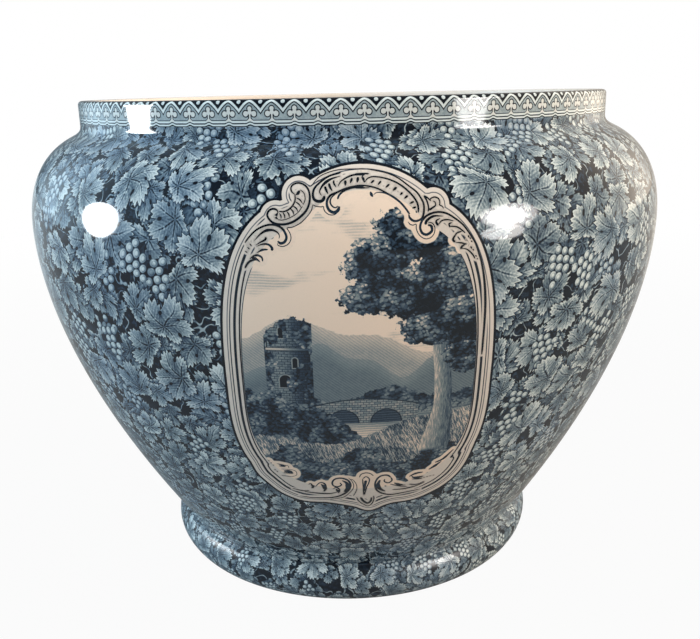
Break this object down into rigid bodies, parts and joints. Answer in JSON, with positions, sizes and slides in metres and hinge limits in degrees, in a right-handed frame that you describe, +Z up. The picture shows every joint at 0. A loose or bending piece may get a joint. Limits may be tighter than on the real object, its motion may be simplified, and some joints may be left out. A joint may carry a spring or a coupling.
{
  "type": "jardiniere",
  "caption": "Large round pot for a houseplant, with a roll foot, a full belly and a straight collar, in glazed ceramic with a blue vine print and framed landscape panels.",
  "frame": {"origin": "centre of the foot's resting face, on the surface that the pot stands on", "axes": "+Z up along the pot's axis of revolution, -Y towards the front panel"},
  "size_m": [0.38, 0.38, 0.285],
  "materials": {
    "biscuit": "bare fired clay",
    "cream_glaze": "gloss",
    "vine_glaze": "gloss over a blue vine print",
    "border_glaze": "gloss over a blue arcade border",
    "frame_glaze": "gloss over a scroll frame in blue lines on cream",
    "picture_glaze": "gloss over a landscape in blue on cream"
  },
  "bodies": {
    "root": {"foot_ring": "biscuit", "floor_slab": "biscuit", "lower_wall": "biscuit", "shoulder_wall": "biscuit", "neck_collar": "biscuit", "base_glaze": "cream_glaze", "inner_glaze": "cream_glaze", "foot_print": "vine_glaze", "vine_print_front": "vine_glaze", "vine_print_right": "vine_glaze", "vine_print_back": "vine_glaze", "vine_print_left": "vine_glaze", "border_print": "border_glaze", "front_frame_print": "frame_glaze", "front_picture_print": "picture_glaze", "back_frame_print": "frame_glaze", "back_picture_print": "picture_glaze"}
  },
  "joints": []
}
